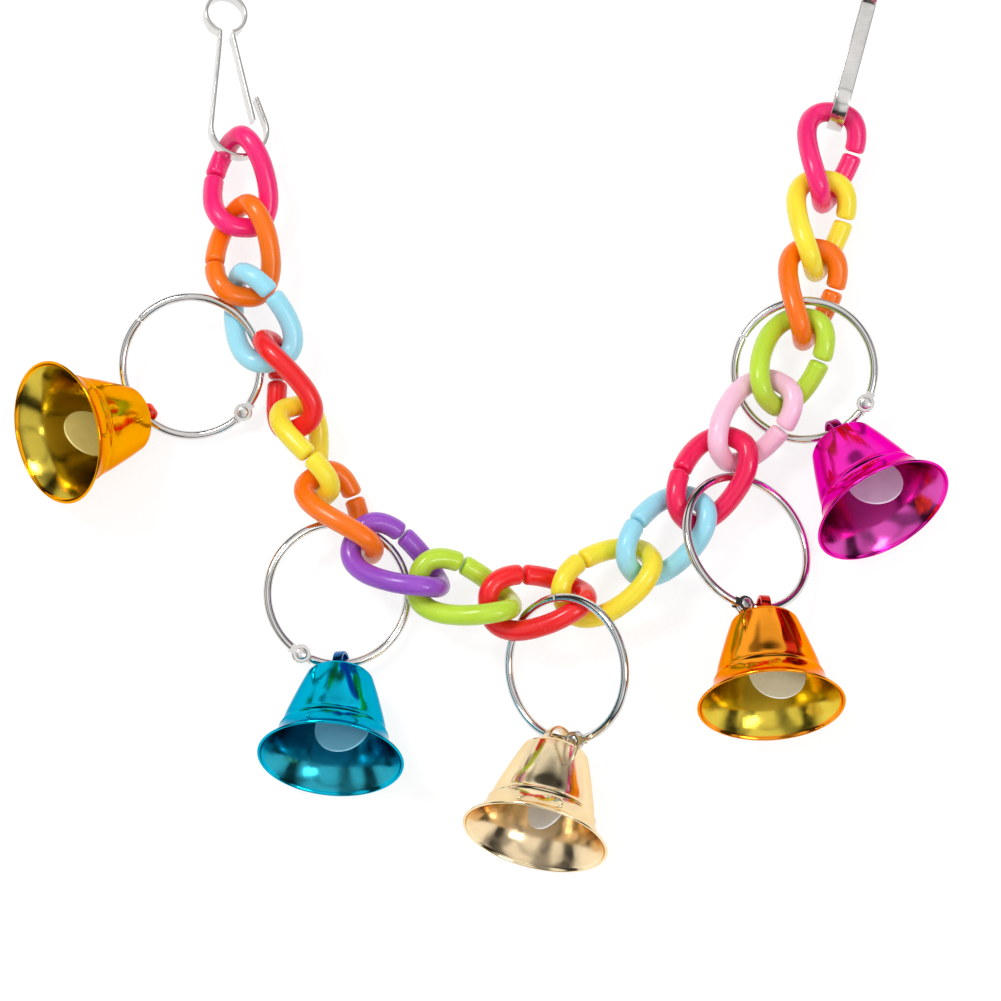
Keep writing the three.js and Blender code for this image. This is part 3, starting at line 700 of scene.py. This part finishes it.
class Nodes:
    """A node tree with helpers that add to it."""

    def __init__(self, tree):
        self.tree = tree

    def add(self, kind, **values):
        """A new node. Each value goes to the node's own setting of that name, or else to its input."""
        node = self.tree.nodes.new(kind)
        for key, value in values.items():
            if hasattr(node, key):
                setattr(node, key, value)
            else:
                node.inputs[key].default_value = value
        return node

    def link(self, source, target):
        self.tree.links.new(source, target)

    def ramp(self, value, stops):
        node = self.add("ShaderNodeValToRGB")
        elements = node.color_ramp.elements
        while len(elements) < len(stops):
            elements.new(0.5)
        for element, (position, colour) in zip(elements, stops):
            element.position = position
            element.color = colour
        self.link(value, node.inputs["Fac"])
        return node.outputs["Color"]

    def larger(self, first, second):
        node = self.add("ShaderNodeMath", operation="MAXIMUM")
        self.link(first, node.inputs[0])
        self.link(second, node.inputs[1])
        return node.outputs[0]

    def mixed(self, share, first, second):
        node = self.add("ShaderNodeMixShader")
        self.link(share, node.inputs["Fac"])
        self.link(first, node.inputs[1])
        self.link(second, node.inputs[2])
        return node.outputs[0]


class Finish(Nodes):
    """A procedural material."""

    def __init__(self, name, **constants):
        self.material = bpy.data.materials.new(name)
        self.material.use_nodes = True
        super().__init__(self.material.node_tree)
        self.shader = self.tree.nodes["Principled BSDF"]
        for key, value in constants.items():
            self.shader.inputs[key].default_value = value

    def noise(self, scale, detail, stretch=(1, 1, 1)):
        place = self.add("ShaderNodeTexCoord")
        mapping = self.add("ShaderNodeMapping", Scale=stretch)
        texture = self.add("ShaderNodeTexNoise", Scale=scale, Detail=detail)
        self.link(place.outputs["Object"], mapping.inputs["Vector"])
        self.link(mapping.outputs["Vector"], texture.inputs["Vector"])
        return texture.outputs["Fac"]

    def clouded(self, noise, code, dark, pale, edge=CLOUD_EDGE):
        """The colour drifts between a darker and a paler share of itself."""
        colour = srgb(code)
        stops = [(edge, scaled(colour, dark)), (1 - edge, scaled(colour, pale))]
        self.link(self.ramp(noise, stops), self.shader.inputs["Base Color"])

    def handled(self, noise, low, high):
        """The roughness drifts between two values."""
        node = self.add("ShaderNodeMapRange", **{"From Min": NOISE_SPAN[0], "From Max": NOISE_SPAN[1],
                                                 "To Min": low, "To Max": high})
        self.link(noise, node.inputs["Value"])
        self.link(node.outputs["Result"], self.shader.inputs["Roughness"])

    def bump(self, height, strength, distance):
        node = self.add("ShaderNodeBump", Strength=strength, Distance=distance)
        self.link(height, node.inputs["Height"])
        self.link(node.outputs["Normal"], self.shader.inputs["Normal"])


def plastic(name, code):
    """Glossy moulded plastic that lets a little light in."""
    finish = Finish(name, **{"IOR": 1.5, "Subsurface Weight": 0.12, "Subsurface Radius": (0.9, 0.5, 0.4),
                             "Subsurface Scale": 2 * MM})
    finish.clouded(finish.noise(scale=55, detail=2), code, dark=0.9, pale=1.04, edge=PLASTIC_CLOUD_EDGE)
    finish.handled(finish.noise(scale=160, detail=4), low=0.17, high=0.3)
    finish.bump(finish.noise(scale=420, detail=3), strength=0.12, distance=0.12 * MM)
    return finish.material


def nickel(name, code, rough):
    """Bright plate over drawn wire or strip."""
    finish = Finish(name, Metallic=1)
    finish.clouded(finish.noise(scale=120, detail=4), code, dark=0.84, pale=1.05)
    finish.handled(finish.noise(scale=300, detail=5, stretch=(1, 6, 1)), *rough)
    finish.bump(finish.noise(scale=700, detail=4, stretch=(1, 5, 2)), strength=0.1, distance=0.06 * MM)
    return finish.material


def satin_painted_reflection(name, code):
    """Dull plated sheet, rolled and tumbled, as on a stamping. It is barely metallic and takes a pale colour, a
    painted reflection that stands in for the bright studio the clapper mirrors.
    """
    finish = Finish(name, Metallic=0.1)
    finish.clouded(finish.noise(scale=140, detail=4), code, dark=0.88, pale=1.06)
    finish.handled(finish.noise(scale=420, detail=4, stretch=(1, 8, 1)), low=0.34, high=0.52)
    finish.bump(finish.noise(scale=900, detail=4, stretch=(1, 7, 1)), strength=0.18, distance=0.05 * MM)
    return finish.material


def spun_plating(name, code, rough, depth):
    """Mirror plating over a spun shell: fine rings round the bell's axis under a tinted lacquer."""
    edge = [EDGE_WHITE + (1 - EDGE_WHITE) * part for part in srgb(code)[:3]]
    finish = Finish(name, **{"Metallic": 1, "Specular Tint": (*edge, 1)})
    rings = finish.add("ShaderNodeTexNoise", noise_dimensions="1D", Scale=TURNING_RINGS, Detail=2)
    height = finish.add("ShaderNodeAttribute", attribute_name="turned")
    finish.link(height.outputs["Fac"], rings.inputs["W"])
    finish.clouded(finish.noise(scale=70, detail=3), code, dark=0.88, pale=1.06)
    finish.handled(finish.noise(scale=240, detail=4), *rough)
    finish.bump(rings.outputs["Fac"], strength=depth, distance=0.05 * MM)
    return finish.material


# Pieces
def add_piece(name, mesh, place, node, *materials):
    piece = bpy.data.objects.new(name, mesh)
    bpy.context.scene.collection.objects.link(piece)
    for material in materials:
        mesh.materials.append(material)
    mesh.transform(place)
    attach(piece, body_of[node])
    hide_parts(node)


def add_links():
    finishes = {colour: plastic(f"{colour}_plastic", code) for colour, code in PLASTIC.items()}
    for k, (node, middle, way) in link_places().items():
        roll, lift, slit_side, slit_way = LINKS[k - 1]
        place = placed(way, UP.cross(way), UP, middle + UP * lift * MM)
        mesh = link_mesh(f"{node}_moulding", roll, slit_side, slit_way)
        add_piece(f"{node}_moulding", mesh, place, node, finishes[node.split("_")[2]])


def ring_place(k):
    """Where a ring lies, from its hinge and from where its bell hangs."""
    normal = axis(f"ring_{k}_open")
    hinge = pivot(f"ring_{k}_open")
    lug = pivot(f"bell_{k}_swing")
    to_bell = axis(f"bell_{k}_swing").cross(normal).normalized()
    centres = [lug - to_bell * ring_radius, lug + to_bell * ring_radius]
    centre = min(centres, key=lambda c: abs((hinge - c).length - ring_radius))
    seam = (centre - hinge).normalized()
    across = normal.cross(seam).normalized()
    return placed(seam, across, normal, centre)


def add_rings():
    steel = nickel("ring_nickel", NICKEL, rough=(0.06, 0.15))
    rivet_steel = nickel("rivet_nickel", NICKEL, rough=(0.16, 0.32))
    for k in BELLS:
        place = ring_place(k)
        hinge = place @ Matrix.Translation((-ring_radius, 0, 0))
        fixed = ring_half_mesh(f"ring_{k}_fixed_wire", -1, True)
        swinging = ring_half_mesh(f"ring_{k}_swing_wire", 1, False)
        rivet = rivet_mesh(f"ring_{k}_domed_rivet")
        add_piece(f"ring_{k}_fixed_wire", fixed, place, f"ring_{k}_fixed_half", steel)
        add_piece(f"ring_{k}_swing_wire", swinging, place, f"ring_{k}_swing_half", steel)
        add_piece(f"ring_{k}_domed_rivet", rivet, hinge, f"ring_{k}_rivet", rivet_steel)


def add_bells():
    blank = bell_mesh("bell_blank")
    for k, look in BELLS.items():
        lug = pivot(f"bell_{k}_swing")
        foot = pivot(f"bell_{k}_strike")
        crown = (lug - foot).normalized()
        side = axis(f"bell_{k}_strike")
        place = placed(side, crown.cross(side), crown, lug - crown * wire_pivot)
        outside = spun_plating(f"bell_{k}_outside", look["outside"], rough=(0.06, 0.16), depth=0.1)
        inside = spun_plating(f"bell_{k}_inside", look["inside"], rough=(0.12, 0.26), depth=0.16)
        add_piece(f"bell_{k}_spun_shell", blank.copy(), place, f"bell_{k}_shell", outside, inside)
        plating = nickel(f"bell_{k}_hanger_plating", look["hanger"], rough=(0.1, 0.22))
        hanger = hanger_mesh(f"bell_{k}_bent_hanger")
        add_piece(f"bell_{k}_bent_hanger", hanger, place, f"bell_{k}_hanger", plating)
        hung = placed(crown, side.cross(crown), side, foot)
        hung = hung @ Matrix.Rotation(math.radians(CLAPPER_LEAN - 90), 4, "Z")
        # Painted reflection: the clapper's pale colour stands in for the bright light it mirrors
        painted_reflection = satin_painted_reflection(f"bell_{k}_clapper_painted_reflection", look["clapper"])
        clapper = clapper_mesh(f"bell_{k}_stamped_clapper")
        add_piece(f"bell_{k}_stamped_clapper", clapper, hung, f"bell_{k}_clapper", painted_reflection)


def add_hooks():
    steel = nickel("hook_nickel", NICKEL, rough=(0.1, 0.26))
    for side in ("left", "right"):
        across = -axis(f"{side}_hook_gate_bend")
        to_head = UP.cross(across).normalized()
        out = to_head.cross(across)
        root = gate_root()
        bow = pivot(f"{side}_hook_gate_bend") - out * root.x - to_head * root.y
        place = placed(out, to_head, across, bow)
        strip, gate = f"{side}_hook_strip", f"{side}_hook_gate_strip"
        add_piece(strip, hook_mesh(strip), place, f"{side}_hook", steel)
        add_piece(gate, gate_mesh(gate), place, f"{side}_hook_gate", steel)


# Floor, light and camera
def add_floor():
    low = cad_box[0][2]
    mesh = bpy.data.meshes.new("floor")
    mesh.from_pydata([(x * FLOOR_REACH, y * FLOOR_REACH, low) for x, y in SQUARE], [], [(0, 1, 2, 3)])
    floor = bpy.data.objects.new("floor", mesh)
    bpy.context.scene.collection.objects.link(floor)
    finish = Finish("pale_floor")
    finish.tree.nodes.remove(finish.shader)
    shaded = finish.add("ShaderNodeBsdfDiffuse", Color=grey(FLOOR_SHADOW))
    glow = finish.add("ShaderNodeEmission", Strength=FLOOR_GLOW)
    seen = finish.add("ShaderNodeAddShader")
    finish.link(shaded.outputs[0], seen.inputs[0])
    finish.link(glow.outputs[0], seen.inputs[1])
    plain = finish.add("ShaderNodeBsdfDiffuse", Color=grey(FLOOR_COLOUR))
    rays = finish.add("ShaderNodeLightPath").outputs
    direct = finish.larger(rays["Is Camera Ray"], rays["Is Glossy Ray"])
    direct = finish.larger(direct, rays["Is Transmission Ray"])
    mix = finish.mixed(direct, plain.outputs[0], seen.outputs[0])
    finish.link(mix, finish.tree.nodes["Material Output"].inputs["Surface"])
    mesh.materials.append(finish.material)


def add_world():
    """White to the camera, an even light on the object, and a studio of bands and panels to mirror."""
    world = bpy.data.worlds.new("studio")
    world.use_nodes = True
    world.node_tree.nodes.clear()
    sky = Nodes(world.node_tree)
    split = sky.add("ShaderNodeSeparateXYZ")
    sky.link(sky.add("ShaderNodeTexCoord").outputs["Generated"], split.inputs[0])
    across = sky.add("ShaderNodeMapRange", **{"From Min": -1})
    sky.link(split.outputs["X"], across.inputs["Value"])
    bands = sky.ramp(split.outputs["Z"], [(at, grey(level)) for at, level in MIRRORED_BANDS])
    panels = sky.ramp(across.outputs["Result"], [(at, grey(level)) for at, level in MIRRORED_PANELS])
    both = sky.add("ShaderNodeMixRGB", blend_type="MULTIPLY", Fac=PANEL_SHARE)
    sky.link(bands, both.inputs["Color1"])
    sky.link(panels, both.inputs["Color2"])
    mirrored = sky.add("ShaderNodeBackground")
    sky.link(both.outputs["Color"], mirrored.inputs["Color"])
    lit = sky.add("ShaderNodeBackground", Color=grey(1), Strength=SKY_LIGHT)
    white = sky.add("ShaderNodeBackground", Color=grey(1))
    rays = sky.add("ShaderNodeLightPath").outputs
    unseen = sky.mixed(rays["Is Glossy Ray"], lit.outputs[0], mirrored.outputs[0])
    seen = sky.mixed(rays["Is Camera Ray"], unseen, white.outputs[0])
    sky.link(seen, sky.add("ShaderNodeOutputWorld").inputs["Surface"])
    bpy.context.scene.world = world


def add_lamp(name, place, size, power):
    lamp = bpy.data.lights.new(name, "AREA")
    lamp.shape = "RECTANGLE"
    lamp.size, lamp.size_y = size
    lamp.energy = power
    holder = bpy.data.objects.new(name, lamp)
    bpy.context.scene.collection.objects.link(holder)
    holder.location = place
    holder.rotation_euler = (-Vector(place)).to_track_quat("-Z", "Y").to_euler()


def add_camera(root_middle):
    tilt = math.radians(CAMERA_TILT)
    back = Vector((0, -math.sin(tilt), math.cos(tilt)))
    right = Vector((1, 0, 0))
    target = root_middle + SIGHT_FROM_ROOT
    camera = bpy.data.cameras.new("camera")
    camera.sensor_width = SENSOR
    camera.lens = SENSOR * (CAMERA_AWAY / PIXEL) / IMAGE
    holder = bpy.data.objects.new("camera", camera)
    bpy.context.scene.collection.objects.link(holder)
    holder.matrix_world = placed(right, back.cross(right), back, target + back * CAMERA_AWAY)
    bpy.context.scene.camera = holder


add_camera(link_places()[ROOT_LINK][1])
add_links()
add_rings()
add_bells()
add_hooks()
add_floor()
add_world()
for lamp in LAMPS:
    add_lamp(*lamp)
bpy.context.scene.view_settings.view_transform = "Standard"
